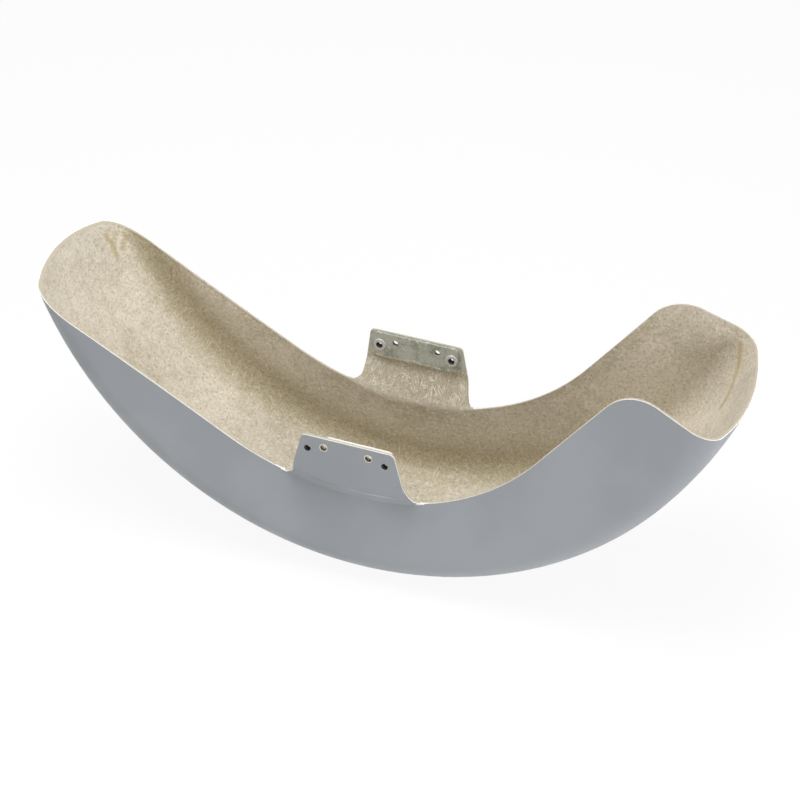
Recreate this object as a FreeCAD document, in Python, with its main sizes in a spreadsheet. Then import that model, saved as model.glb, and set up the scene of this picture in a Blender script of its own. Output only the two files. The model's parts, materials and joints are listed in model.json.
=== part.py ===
import FreeCAD
import Part
import math
import os
import Sketcher
from FreeCAD import Placement, Rotation, Vector

# Motorcycle front fender: a moulded glass-fibre shell with two mounting tabs.
# It lies on its crown, open side up. X runs along the fender from the narrow tip
# to the deep rear end, Y runs across it, and Z points up from the crown.

sizes = {
    # crown line, three tangent arcs in the middle plane
    "crown_radius": 350.0,
    "tip_radius": 387.0,
    "rear_radius": 352.0,
    "tip_arc_start": 25.0,
    "rear_arc_start": 15.0,
    "tip_turn": 70.9,
    "rear_turn": 69.1,
    # cross-section
    "half_width": 94.7,
    "tip_half_width": 83.8,
    "camber_radius": 265.0,
    "corner_radius": 26.0,
    "wall_lean": 8.4,
    "wall_thickness": 3.0,
    # cut edge of the skirts, seen from the side
    "edge_height": 96.6,
    "edge_tip_radius": 276.5,
    "edge_rear_radius": 203.0,
    "edge_rear_slope": 50.8,
    "rear_end_slope": 24.2,
    "hump_radius": 37.0,
    # mounting tabs
    "tab_middle": -17.4,
    "tab_tilt": 2.7,
    "tab_step": 5.0,
    "tab_bend_height": 127.0,
    "tab_bend_radius": 15.0,
    "tab_rise": 14.2,
    "tab_tip_margin": 6.1,
    "tab_rear_margin": 10.0,
    "tab_side_spread": 12.0,
    "tab_corner_radius": 5.0,
    "tab_fillet_radius": 12.0,
    # bolt holes in the tabs
    "insert_height": 147.8,
    "insert_spacing": 75.0,
    "plain_spacing": 43.5,
    "plain_rise": 4.4,
    "hole_radius": 3.3,
    # metal strips in the tabs and their threaded inserts
    "plate_thickness": 2.5,
    "plate_end_margin": 6.0,
    "plate_drop": 14.0,
    "plate_top_margin": 1.0,
    "plate_corner_radius": 4.0,
    "insert_body_radius": 4.5,
    "insert_flange_radius": 6.25,
    "insert_flange_height": 1.5,
    "thread_radius": 2.5,
}

# working allowances of the construction, not sizes of the product
end_overrun = 2.0
wall_reach = 128.0
tip_station_count = 6
tab_section_count = 5
crease_drop = 1.0
tab_root = 2.0
root_cover = 8.0
block_margin = 60.0

doc = FreeCAD.newDocument("front_fender")
sheet = doc.addObject("Spreadsheet::Sheet", "Sizes")
for row, (name, value) in enumerate(sizes.items(), start=1):
    sheet.set("A%d" % row, name)
    sheet.set("B%d" % row, str(value))
    sheet.setAlias("B%d" % row, name)
doc.recompute()


def size(name):
    return float(sheet.get(name))


def bind(item, prop, formula):
    item.setExpression(prop, formula)


wall = size("wall_thickness")
tab_face = size("half_width") + size("tab_step")
lean = math.radians(size("wall_lean"))


# Crown line
def crown_point(turn):
    start = -math.radians(size("tip_arc_start"))
    end = math.radians(size("rear_arc_start"))
    middle = min(max(turn, start), end)
    before = min(turn, start)
    after = max(turn, end)
    x = size("crown_radius") * math.sin(middle)
    z = size("crown_radius") * (1 - math.cos(middle))
    x += size("tip_radius") * (math.sin(before) - math.sin(start))
    z += size("tip_radius") * (math.cos(start) - math.cos(before))
    x += size("rear_radius") * (math.sin(after) - math.sin(end))
    z += size("rear_radius") * (math.cos(end) - math.cos(after))
    return Vector(x, 0, z)


tip_point = crown_point(-math.radians(size("tip_turn")))
rear_point = crown_point(math.radians(size("rear_turn")))
middle_x = (tip_point.x + rear_point.x) / 2


# Sketch helpers
def flat(point):
    return Vector(point.x, point.z, 0)


def line(a, b):
    return Part.LineSegment(a, b)


def arc(centre, radius, first, last):
    return Part.ArcOfCircle(Part.Circle(centre, Vector(0, 0, 1), radius), first, last)


def polar(centre, radius, angle):
    return centre + Vector(radius * math.cos(angle), radius * math.sin(angle), 0)


def new_sketch(name, placement):
    sketch = doc.addObject("Sketcher::SketchObject", name)
    sketch.Placement = placement
    return sketch


# Draws a closed outline and ties each edge's ends to its neighbours
def draw_outline(sketch, edges):
    sketch.addGeometry(edges, False)
    ends = []
    for index, edge in enumerate(edges):
        ends.append((index, 1, edge.StartPoint))
        ends.append((index, 2, edge.EndPoint))
    for first, (edge, end, point) in enumerate(ends):
        for other, other_end, other_point in ends[first + 1:]:
            if other != edge and point.distanceToPoint(other_point) < 1e-6:
                sketch.addConstraint(Sketcher.Constraint("Coincident", edge, end, other, other_end))


def bind_radius(sketch, edge, radius, formula, label):
    index = sketch.addConstraint(Sketcher.Constraint("Radius", edge, radius))
    sketch.renameConstraint(index, label)
    sketch.setExpression("Constraints." + label, formula)


side_view = Rotation(Vector(1, 0, 0), 90)
end_view = Rotation(Vector(1, 1, 1), 120)


# Cross-section of the channel: a cambered crown, two round corners and walls that lean in
def corner_centre(half):
    corner = size("corner_radius")
    camber = size("camber_radius")
    reach = half - corner
    opening = math.asin(reach / (camber - corner))
    return Vector(reach, camber - (camber - corner) * math.cos(opening), 0), opening


def wall_line(centre, radius, sign):
    foot = centre + Vector(sign * radius * math.cos(lean), radius * math.sin(lean), 0)
    rise = wall_reach - foot.y
    return foot, foot + Vector(-sign * rise * math.tan(lean), rise, 0)


def station(name, turn):
    share = max(-turn - size("tip_arc_start"), 0) / (size("tip_turn") - size("tip_arc_start"))
    half = size("half_width") + (size("tip_half_width") - size("half_width")) * share ** 2
    camber = size("camber_radius")
    corner = size("corner_radius")
    inner = corner - wall
    turned = Rotation(Vector(0, 1, 0), -turn) * end_view
    sketch = new_sketch(name, Placement(crown_point(math.radians(turn)), turned))
    right, opening = corner_centre(half)
    left = Vector(-right.x, right.y, 0)
    top = Vector(0, camber, 0)
    right_foot, right_rim = wall_line(right, corner, 1)
    left_foot, left_rim = wall_line(left, corner, -1)
    right_in, right_in_rim = wall_line(right, inner, 1)
    left_in, left_in_rim = wall_line(left, inner, -1)
    down = -math.pi / 2
    draw_outline(sketch, [
        line(right_rim, right_foot),
        arc(right, corner, down + opening, lean),
        arc(top, camber, down - opening, down + opening),
        arc(left, corner, math.pi - lean, 1.5 * math.pi - opening),
        line(left_foot, left_rim),
        line(left_rim, left_in_rim),
        line(left_in_rim, left_in),
        arc(left, inner, math.pi - lean, 1.5 * math.pi - opening),
        arc(top, camber - wall, down - opening, down + opening),
        arc(right, inner, down + opening, lean),
        line(right_in, right_in_rim),
        line(right_in_rim, right_rim),
    ])
    bind_radius(sketch, 1, corner, "Sizes.corner_radius", "corner")
    bind_radius(sketch, 2, camber, "Sizes.camber_radius", "camber")
    bind_radius(sketch, 8, camber - wall, "Sizes.camber_radius - Sizes.wall_thickness", "inner_camber")
    return sketch


# The middle and the rear follow the wheel, each a turn of the section about its own axis
def turned_channel(name, start, radius, formula):
    channel = doc.addObject("Part::Revolution", name)
    channel.Source = station(name + "_section", start)
    foot = crown_point(math.radians(start))
    channel.Base = foot + Vector(-math.sin(math.radians(start)), 0, math.cos(math.radians(start))) * radius
    channel.Axis = Vector(0, -1, 0)
    channel.Solid = True
    bind(channel, "Angle", formula)
    return channel


middle_channel = turned_channel("middle_channel", -size("tip_arc_start"), size("crown_radius"),
                                "Sizes.tip_arc_start + Sizes.rear_arc_start")
rear_channel = turned_channel("rear_channel", size("rear_arc_start"), size("rear_radius"),
                              "Sizes.rear_turn - Sizes.rear_arc_start + %g" % end_overrun)

# The front narrows towards the tip
tip_stations = []
tip_span = size("tip_turn") + end_overrun - size("tip_arc_start")
for index in range(tip_station_count):
    turn = -size("tip_arc_start") - tip_span * index / (tip_station_count - 1)
    tip_stations.append(station("tip_section_%d" % index, turn))
tip_channel = doc.addObject("Part::Loft", "tip_channel")
tip_channel.Sections = tip_stations
tip_channel.Solid = True
tip_channel.Ruled = False
tip_channel.MaxDegree = 3

channel = doc.addObject("Part::MultiFuse", "channel")
channel.Shapes = [tip_channel, middle_channel, rear_channel]

# Cut edge of the skirts: straight to the tip, two arcs under the tabs, a rounded hump at the rear
edge_low = Vector(0, size("edge_height"), 0)
tip_edge = size("edge_tip_radius")
rear_edge = size("edge_rear_radius")
hump = size("hump_radius")
tip_edge_centre = edge_low + Vector(0, tip_edge, 0)
rear_edge_centre = edge_low + Vector(0, rear_edge, 0)

to_centre = tip_edge_centre - flat(tip_point)
tip_slope = math.asin(tip_edge / to_centre.Length) - math.atan2(to_centre.y, to_centre.x)
tip_tangent = polar(tip_edge_centre, tip_edge, -math.pi / 2 - tip_slope)
tip_overrun = flat(tip_point) + Vector(-math.cos(tip_slope), math.sin(tip_slope), 0) * block_margin

rear_slope = math.radians(size("edge_rear_slope"))
end_slope = math.radians(size("rear_end_slope"))
rear_tangent = polar(rear_edge_centre, rear_edge, rear_slope - math.pi / 2)
climb = Vector(math.cos(rear_slope), math.sin(rear_slope), 0)
fall = Vector(math.cos(end_slope), -math.sin(end_slope), 0)
gap = flat(rear_point) - rear_tangent
cross = climb.x * fall.y - climb.y * fall.x
peak = rear_tangent + climb * ((gap.x * fall.y - gap.y * fall.x) / cross)
setback = hump * math.tan((rear_slope + end_slope) / 2)
hump_start = peak - climb * setback
hump_end = peak + fall * setback
hump_centre = hump_start + Vector(climb.y, -climb.x, 0) * hump
rear_overrun = flat(rear_point) + fall * block_margin
ceiling = max(tip_overrun.y, peak.y) + block_margin

trim_sketch = new_sketch("skirt_edge", Placement(Vector(0, 0, 0), side_view))
draw_outline(trim_sketch, [
    line(tip_overrun, tip_tangent),
    arc(tip_edge_centre, tip_edge, -math.pi / 2 - tip_slope, -math.pi / 2),
    arc(rear_edge_centre, rear_edge, -math.pi / 2, rear_slope - math.pi / 2),
    line(rear_tangent, hump_start),
    arc(hump_centre, hump, math.pi / 2 - end_slope, math.pi / 2 + rear_slope),
    line(hump_end, rear_overrun),
    line(rear_overrun, Vector(rear_overrun.x, ceiling, 0)),
    line(Vector(rear_overrun.x, ceiling, 0), Vector(tip_overrun.x, ceiling, 0)),
    line(Vector(tip_overrun.x, ceiling, 0), tip_overrun),
])
bind_radius(trim_sketch, 1, tip_edge, "Sizes.edge_tip_radius", "tip_edge")
bind_radius(trim_sketch, 2, rear_edge, "Sizes.edge_rear_radius", "rear_edge")
bind_radius(trim_sketch, 4, hump, "Sizes.hump_radius", "hump")


def across(name, sketch):
    block = doc.addObject("Part::Extrusion", name)
    block.Base = sketch
    block.DirMode = "Custom"
    block.Dir = Vector(0, 1, 0)
    block.Symmetric = True
    block.Solid = True
    bind(block, "LengthFwd", "4 * Sizes.half_width")
    return block


trim_block = across("skirt_trim", trim_sketch)
trimmed = doc.addObject("Part::Cut", "trimmed_channel")
trimmed.Base = channel
trimmed.Tool = trim_block


# Mounting tabs: a strip that leaves the skirt edge outwards and bends upright
def edge_rise(x):
    radius = tip_edge if x < 0 else rear_edge
    return size("edge_height") + radius - math.sqrt(radius ** 2 - x ** 2)


def skirt_face(x, z):
    depth = size("crown_radius") - math.hypot(x, size("crown_radius") - z)
    centre, opening = corner_centre(size("half_width"))
    foot_y = centre.x + size("corner_radius") * math.cos(lean)
    foot_depth = centre.y + size("corner_radius") * math.sin(lean)
    return foot_y - (depth - foot_depth) * math.tan(lean)


tilt = math.radians(size("tab_tilt"))
tab_origin = Vector(size("tab_middle"), size("insert_height"), 0)
along = Vector(math.cos(tilt), -math.sin(tilt), 0)
upward = Vector(math.sin(tilt), math.cos(tilt), 0)


def tab_point(u, w):
    return tab_origin + along * u + upward * w


spread = math.radians(size("tab_side_spread"))
tip_side_top = tab_point(-size("insert_spacing") / 2 - size("tab_tip_margin"), size("tab_rise"))
rear_side_top = tab_point(size("insert_spacing") / 2 + size("tab_rear_margin"), size("tab_rise"))


# A tab side runs down and outwards, and a fillet joins it to the skirt edge
def tab_side(top, sign, edge_centre, edge_radius):
    fillet = size("tab_fillet_radius")
    down = along * (sign * math.sin(spread)) - upward * math.cos(spread)
    outward = along * (sign * math.cos(spread)) + upward * math.sin(spread)
    start = top + outward * fillet - edge_centre
    half = start.dot(down)
    run = -half + math.sqrt(half ** 2 - start.dot(start) + (edge_radius - fillet) ** 2)
    centre = top + outward * fillet + down * run
    from_centre = (centre - edge_centre).normalize()
    return down, centre, top + down * run, centre + from_centre * fillet


tip_down, tip_fillet, tip_side_end, tip_foot = tab_side(tip_side_top, -1, tip_edge_centre, tip_edge)
rear_down, rear_fillet, rear_side_end, rear_foot = tab_side(rear_side_top, 1, rear_edge_centre, rear_edge)


def angle_of(centre, point):
    return math.atan2(point.y - centre.y, point.x - centre.x)


def corner_arc(corner, toward_first, toward_last, radius):
    half = math.acos(max(-1, min(1, toward_first.dot(toward_last)))) / 2
    reach = radius / math.tan(half)
    bisector = (toward_first + toward_last).normalize()
    centre = corner + bisector * (radius / math.sin(half))
    return corner + toward_first * reach, corner + toward_last * reach, centre


round_top = size("tab_corner_radius")
tip_round_low, tip_round_top, tip_round = corner_arc(tip_side_top, tip_down, along, round_top)
rear_round_top, rear_round_low, rear_round = corner_arc(rear_side_top, along * -1, rear_down, round_top)
tip_base = Vector(tip_foot.x, size("edge_height") - root_cover, 0)
rear_base = Vector(rear_foot.x, size("edge_height") - root_cover, 0)
fillet = size("tab_fillet_radius")

tab_sketch = new_sketch("tab_outline", Placement(Vector(0, 0, 0), side_view))
draw_outline(tab_sketch, [
    arc(tip_fillet, fillet, angle_of(tip_fillet, tip_foot), angle_of(tip_fillet, tip_side_end)),
    line(tip_side_end, tip_round_low),
    arc(tip_round, round_top, angle_of(tip_round, tip_round_top), angle_of(tip_round, tip_round_low)),
    line(tip_round_top, rear_round_top),
    arc(rear_round, round_top, angle_of(rear_round, rear_round_low), angle_of(rear_round, rear_round_top)),
    line(rear_round_low, rear_side_end),
    arc(rear_fillet, fillet, angle_of(rear_fillet, rear_side_end), angle_of(rear_fillet, rear_foot)),
    line(rear_foot, rear_base),
    line(rear_base, tip_base),
    line(tip_base, tip_foot),
])
bind_radius(tab_sketch, 0, fillet, "Sizes.tab_fillet_radius", "tip_fillet")
bind_radius(tab_sketch, 2, round_top, "Sizes.tab_corner_radius", "tip_round")
bind_radius(tab_sketch, 4, round_top, "Sizes.tab_corner_radius", "rear_round")
bind_radius(tab_sketch, 6, fillet, "Sizes.tab_fillet_radius", "rear_fillet")
tab_block = across("tab_block", tab_sketch)


def tab_section(index, x):
    bend = size("tab_bend_radius")
    low = edge_rise(x) - crease_drop
    crease = Vector(skirt_face(x, low), low, 0)
    bend_z = size("tab_bend_height") - math.tan(tilt) * (x - size("tab_middle"))
    flare = math.atan2(tab_face - crease.x, bend_z - crease.y)
    rise = Vector(math.sin(flare), math.cos(flare), 0)
    inward = Vector(-math.cos(flare), math.sin(flare), 0)
    reach = bend * math.tan(flare / 2)
    corner = Vector(tab_face, bend_z, 0)
    start = crease - rise * tab_root
    low_end = corner - rise * reach
    high_end = corner + Vector(0, reach, 0)
    centre = high_end - Vector(bend, 0, 0)
    top = Vector(tab_face, ceiling, 0)
    inset = Vector(-wall, 0, 0)
    sketch = new_sketch("tab_section_%d" % index, Placement(Vector(x, 0, 0), end_view))
    draw_outline(sketch, [
        line(start, low_end),
        arc(centre, bend, -flare, 0),
        line(high_end, top),
        line(top, top + inset),
        line(top + inset, high_end + inset),
        arc(centre, bend - wall, -flare, 0),
        line(low_end + inward * wall, start + inward * wall),
        line(start + inward * wall, start),
    ])
    bind_radius(sketch, 1, bend, "Sizes.tab_bend_radius", "bend")
    return sketch


strip_start = tip_foot.x - 2 * tab_root
strip_end = rear_foot.x + 2 * tab_root
strip_sections = []
for index in range(tab_section_count):
    x = strip_start + (strip_end - strip_start) * index / (tab_section_count - 1)
    strip_sections.append(tab_section(index, x))
strip = doc.addObject("Part::Loft", "tab_strip")
strip.Sections = strip_sections
strip.Solid = True
strip.Ruled = False

left_tab = doc.addObject("Part::Common", "left_tab")
left_tab.Base = strip
left_tab.Tool = tab_block
right_tab = doc.addObject("Part::Mirroring", "right_tab")
right_tab.Source = left_tab
right_tab.Normal = Vector(0, 1, 0)

moulding = doc.addObject("Part::MultiFuse", "moulding")
moulding.Shapes = [trimmed, left_tab, right_tab]

# Bolt holes, one sketch on the tilted hole line for both tabs
hole_frame = Placement(Vector(tab_origin.x, 0, tab_origin.y), Rotation(Vector(0, 1, 0), size("tab_tilt")) * side_view)
hole_sketch = new_sketch("tab_holes", hole_frame)


def add_hole(sketch, u, w, u_formula, w_formula, radius, formula, label):
    circle = Part.Circle(Vector(u, w, 0), Vector(0, 0, 1), radius)
    edge = sketch.addGeometry(circle, False)
    bind_radius(sketch, edge, radius, formula, label + "_radius")
    places = (("DistanceX", u, u_formula, "_u"), ("DistanceY", w, w_formula, "_w"))
    for kind, value, place_formula, ending in places:
        index = sketch.addConstraint(Sketcher.Constraint(kind, -1, 1, edge, 3, value))
        sketch.renameConstraint(index, label + ending)
        sketch.setExpression("Constraints." + label + ending, place_formula)


def add_holes(sketch, outer_radius):
    u_insert = size("insert_spacing") / 2
    u_plain = size("plain_spacing") / 2
    for side, sign in (("tip", -1), ("rear", 1)):
        add_hole(sketch, sign * u_insert, 0, "%d * Sizes.insert_spacing / 2" % sign, "0 * Sizes.insert_height",
                 size(outer_radius), "Sizes." + outer_radius, side + "_outer")
        add_hole(sketch, sign * u_plain, size("plain_rise"), "%d * Sizes.plain_spacing / 2" % sign,
                 "Sizes.plain_rise", size("hole_radius"), "Sizes.hole_radius", side + "_inner")


add_holes(hole_sketch, "hole_radius")
hole_block = across("tab_drill", hole_sketch)
shell = doc.addObject("Part::Cut", "fender_shell")
shell.Base = moulding
shell.Tool = hole_block

# Metal strip on the inner face of each tab
seat_face = "Sizes.half_width + Sizes.tab_step - Sizes.wall_thickness"
plate_tip = -size("insert_spacing") / 2 - size("plate_end_margin")
plate_rear = size("insert_spacing") / 2 + size("plate_end_margin")
plate_low = -size("plate_drop")
plate_high = size("tab_rise") - size("plate_top_margin")
plate_round = size("plate_corner_radius")


def plate_outline(sketch):
    a = Vector(plate_tip, plate_low, 0)
    b = Vector(plate_rear, plate_low, 0)
    c = Vector(plate_rear, plate_high, 0)
    d = Vector(plate_tip, plate_high, 0)
    step_x = Vector(plate_round, 0, 0)
    step_y = Vector(0, plate_round, 0)
    quarter = math.pi / 2
    draw_outline(sketch, [
        line(a + step_x, b - step_x),
        arc(b - step_x + step_y, plate_round, -quarter, 0),
        line(b + step_y, c - step_y),
        arc(c - step_x - step_y, plate_round, 0, quarter),
        line(c - step_x, d + step_x),
        arc(d + step_x - step_y, plate_round, quarter, 2 * quarter),
        line(d - step_y, a + step_y),
        arc(a + step_x + step_y, plate_round, 2 * quarter, 3 * quarter),
    ])
    for edge in (1, 3, 5, 7):
        bind_radius(sketch, edge, plate_round, "Sizes.plate_corner_radius", "round_%d" % edge)
    add_holes(sketch, "insert_body_radius")


def tab_plate(name, sign):
    sketch = new_sketch(name + "_outline", hole_frame)
    plate_outline(sketch)
    bind(sketch, "Placement.Base.y", "%d * (%s)" % (sign, seat_face))
    plate = doc.addObject("Part::Extrusion", name)
    plate.Base = sketch
    plate.DirMode = "Custom"
    plate.Dir = Vector(0, -sign, 0)
    plate.Solid = True
    bind(plate, "LengthFwd", "Sizes.plate_thickness")
    return plate


left_plate = tab_plate("tab_plate_left", 1)
right_plate = tab_plate("tab_plate_right", -1)


# Threaded inserts pressed into the outer holes of the strips
def insert(label, sign, end):
    place = tab_point(end * size("insert_spacing") / 2, 0)
    inward = Rotation(Vector(1, 0, 0), 90 * sign)
    seat = "%d * (%s)" % (sign, seat_face)
    shoulder = "%d * (%s - Sizes.plate_thickness)" % (sign, seat_face)

    def cylinder(part_name, radius, height, start):
        item = doc.addObject("Part::Cylinder", label + part_name)
        item.Placement = Placement(Vector(place.x, 0, place.y), inward)
        bind(item, "Radius", radius)
        bind(item, "Height", height)
        bind(item, "Placement.Base.y", start)
        return item

    body = cylinder("_body", "Sizes.insert_body_radius", "Sizes.plate_thickness", seat)
    flange = cylinder("_flange", "Sizes.insert_flange_radius", "Sizes.insert_flange_height", shoulder)
    thread = cylinder("_thread", "Sizes.thread_radius", "Sizes.plate_thickness + Sizes.insert_flange_height", seat)
    joined = doc.addObject("Part::Fuse", label + "_blank")
    joined.Base = body
    joined.Tool = flange
    tapped = doc.addObject("Part::Cut", label)
    tapped.Base = joined
    tapped.Tool = thread
    return tapped


inserts = doc.addObject("Part::Compound", "threaded_inserts")
inserts.Links = [
    insert("insert_left_tip", 1, -1),
    insert("insert_left_rear", 1, 1),
    insert("insert_right_tip", -1, -1),
    insert("insert_right_rear", -1, 1),
]

# The origin lies on the floor below the middle of the fender
sub_parts = [shell, left_plate, right_plate, inserts]
for item in sub_parts:
    item.Placement = Placement(Vector(-middle_x, 0, 0), Rotation())
doc.recompute()

for item in doc.Objects:
    if "Invalid" in item.State or "Error" in item.State:
        raise RuntimeError("not built: " + item.Name)
for item in sub_parts:
    if item.Shape.isNull() or not item.Shape.isValid() or not item.Shape.Solids:
        raise RuntimeError("no sound solid: " + item.Label)

os.makedirs("parts", exist_ok=True)
for item in sub_parts:
    item.Shape.exportStep("parts/%s.step" % item.Label)
    print(item.Label, len(item.Shape.Solids), round(item.Shape.Volume / 1000, 2), "cm3", item.Shape.BoundBox)
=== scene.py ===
import json
import math

import bmesh
import bpy
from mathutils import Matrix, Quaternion, Vector, noise
from mathutils.bvhtree import BVHTree


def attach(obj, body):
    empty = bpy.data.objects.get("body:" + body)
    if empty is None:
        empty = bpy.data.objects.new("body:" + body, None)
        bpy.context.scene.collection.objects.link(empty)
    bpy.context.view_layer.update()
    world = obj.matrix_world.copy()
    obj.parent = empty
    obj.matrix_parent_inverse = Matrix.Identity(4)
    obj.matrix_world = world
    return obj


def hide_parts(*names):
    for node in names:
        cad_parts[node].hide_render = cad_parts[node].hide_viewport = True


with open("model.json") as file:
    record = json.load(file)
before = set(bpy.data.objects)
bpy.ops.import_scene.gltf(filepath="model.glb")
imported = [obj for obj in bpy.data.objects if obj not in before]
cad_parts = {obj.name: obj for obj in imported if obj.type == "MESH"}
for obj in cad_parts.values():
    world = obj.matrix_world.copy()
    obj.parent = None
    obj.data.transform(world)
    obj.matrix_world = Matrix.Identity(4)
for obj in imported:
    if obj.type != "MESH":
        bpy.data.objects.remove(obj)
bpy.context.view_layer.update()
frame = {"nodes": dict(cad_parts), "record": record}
scene = bpy.context.scene
scene.view_settings.view_transform = "Standard"
mm = 0.001
tabTilt = math.radians(2.7)  # of the hole line, down towards the rear
print("frame loaded with", len(frame["nodes"]), "nodes")


# node helpers
def srgb(red, green, blue):
    linear = []
    for value in (red, green, blue):
        share = value / 255
        linear.append(share / 12.92 if share < 0.04045 else ((share + 0.055) / 1.055) ** 2.4)
    return (*linear, 1.0)


def feed(tree, socket, value):
    if isinstance(value, bpy.types.NodeSocket):
        tree.links.new(value, socket)
    else:
        socket.default_value = value


def put(tree, kind, inputs=None, **settings):
    node = tree.nodes.new("ShaderNode" + kind)
    for name, value in settings.items():
        setattr(node, name, value)
    for name, value in (inputs or {}).items():
        feed(tree, node.inputs[name], value)
    return node


def sums(tree, operation, first, second=0.0, third=0.0):
    node = put(tree, "Math", operation=operation)
    feed(tree, node.inputs[0], first)
    feed(tree, node.inputs[1], second)
    feed(tree, node.inputs[2], third)
    return node.outputs[0]


def times(tree, first, second):
    return sums(tree, "MULTIPLY", first, second)


def largest(tree, first, second):
    return sums(tree, "MAXIMUM", first, second)


def scaled(tree, value, factor, offset):
    return sums(tree, "MULTIPLY_ADD", value, factor, offset)


def blend(tree, share, first, second):
    node = put(tree, "Mix", data_type="RGBA")
    feed(tree, node.inputs[0], share)
    feed(tree, node.inputs[6], first)
    feed(tree, node.inputs[7], second)
    return node.outputs[2]


def remap(tree, value, low, high, newLow=0.0, newHigh=1.0):
    ends = {"Value": value, "From Min": low, "From Max": high, "To Min": newLow, "To Max": newHigh}
    return put(tree, "MapRange", ends, interpolation_type="SMOOTHSTEP").outputs["Result"]


def cloud(tree, place, scale, detail=2.0, roughness=0.5, distortion=0.0):
    node = put(tree, "TexNoise", {"Vector": place, "Scale": scale, "Detail": detail,
                                  "Roughness": roughness, "Distortion": distortion})
    return node.outputs["Fac"]


# noise as cloud takes it, shown as a share that grows over a range of its values
def patches(tree, place, form):
    return remap(tree, cloud(tree, place, *form["noise"]), *form["range"])


def roughen(tree, shader, height, strength, depth):
    bump = put(tree, "Bump", {"Height": height, "Strength": strength, "Distance": depth})
    feed(tree, shader.inputs["Normal"], bump.outputs["Normal"])


def newFinish(name):
    material = bpy.data.materials.new(name)
    material.use_nodes = True
    tree = material.node_tree
    return material, tree, tree.nodes["Principled BSDF"]


# grey primer gelcoat on the outside, chipped round the plain drilled holes
gelcoat = {
    "colour": srgb(149, 153, 157), "shade": srgb(142, 146, 150),
    # the lighter crease colour is a painted highlight where the crease catches the light
    "creaseHighlight": srgb(186, 189, 192), "chip": srgb(226, 218, 200),
    "drift": {"noise": (9.0, 3.0), "range": (0.35, 0.65)},
    "gloss": {"noise": (60.0, 4.0), "range": (0.3, 0.7, 0.37, 0.48)},
    "peel": (700.0, 1.0), "peelStrength": 0.25, "peelDepth": 0.05 * mm,
    "chipReach": 1.5 * mm, "chipRagged": 1.6 * mm, "chipScale": 900.0,
}


def gelcoatFinish(name, colour, plainHoles, holeRadius):
    material, tree, shader = newFinish(name)
    place = put(tree, "TexCoord").outputs["Object"]
    tint = blend(tree, patches(tree, place, gelcoat["drift"]), gelcoat["shade"], colour)
    ragged = times(tree, cloud(tree, place, gelcoat["chipScale"]), gelcoat["chipRagged"])
    flat = put(tree, "VectorMath", {0: place, 1: (1, 0, 1)}, operation="MULTIPLY").outputs[0]
    reach = holeRadius + gelcoat["chipReach"]
    chips = 0.0
    for hole in plainHoles:
        middle = (hole.x, 0, hole.z)
        away = put(tree, "VectorMath", {0: flat, 1: middle}, operation="DISTANCE").outputs["Value"]
        chip = sums(tree, "LESS_THAN", sums(tree, "ADD", away, ragged), reach)
        chips = largest(tree, chip, chips)
    feed(tree, shader.inputs["Base Color"], blend(tree, chips, tint, gelcoat["chip"]))
    feed(tree, shader.inputs["Roughness"], patches(tree, place, gelcoat["gloss"]))
    peel = cloud(tree, place, *gelcoat["peel"])
    roughen(tree, shader, peel, gelcoat["peelStrength"], gelcoat["peelDepth"])
    return material


# bare chopped-strand laminate: pale glass strands in amber resin, metal showing at the tab tops
laminate = {
    "paleAndLit": srgb(220, 210, 192), "tan": srgb(190, 181, 164), "amber": srgb(162, 149, 115),
    "deep": srgb(132, 120, 90), "strandAndGlint": srgb(240, 235, 224), "resin": srgb(171, 150, 92),
    "metal": srgb(190, 192, 182), "metalShade": srgb(158, 162, 147),
    "broad": (20.0, 3.0, 0.55), "patchy": (80.0, 3.0, 0.6), "ripple": (170.0, 2.0, 0.5, 0.6),
    "speck": (380.0, 3.0, 0.75), "glints": {"noise": (340.0, 3.0, 0.75), "range": (0.53, 0.68)},
    # the amber corner, partly resin and partly painted shade, strongest on the far side, by metres
    # laid out across the channel and along it
    "cornerRise": (0.080, 0.108), "cornerFall": (0.165, 0.118), "cornerWave": 0.024,
    "cornerBySide": (-0.02, 0.02, 0.3, 1.0), "cornerByLength": (0.10, 0.20, 1.0, 0.3),
    "tabEdge": (0.190, 0.202),
    # how far resin soaks each place, and what shows through it; in the corner the soak also stands
    # for painted shade
    "cornerSoakAndShade": 0.88, "tabSoak": 0.5, "wetSoak": 0.56, "wetPaleLoss": 0.3,
    "wetBroad": 0.55, "wetPatchy": 0.45, "wetRange": (0.42, 0.64),
    "pitRange": (0.48, 0.64), "pitShare": 0.48, "glintShare": 0.60, "glintSoakLoss": 0.35,
    "clusterRange": (0.45, 0.6), "clusterShare": 0.5, "strandShare": 0.26, "resinShare": 0.8,
    # ragged line on the tabs where metal starts
    "metalRise": (135.5 * mm, 138.5 * mm), "metalRagged": 12 * mm, "metalMiddle": -6.5 * mm,
    "metalReach": (70 * mm, 65 * mm), "metalGlint": 0.7, "sheenRange": (0.4, 0.62),
    "glossRange": (0.35, 0.65), "roughness": (0.28, 0.50),
    "strandHeight": 0.35, "speckHeight": 0.4, "bumpStrength": 0.6, "bumpDepth": 0.4 * mm,
}
# patches per metre, strands per metre along and across, noise values that show as a strand
strandLayers = (
    {"patch": 70.0, "along": 85.0, "across": 900.0, "range": (0.55, 0.72), "turn": 1.3},
    {"patch": 120.0, "along": 130.0, "across": 1300.0, "range": (0.56, 0.72), "turn": 2.3},
    {"patch": 45.0, "along": 60.0, "across": 1000.0, "range": (0.60, 0.74), "turn": 3.3},
)


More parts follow.
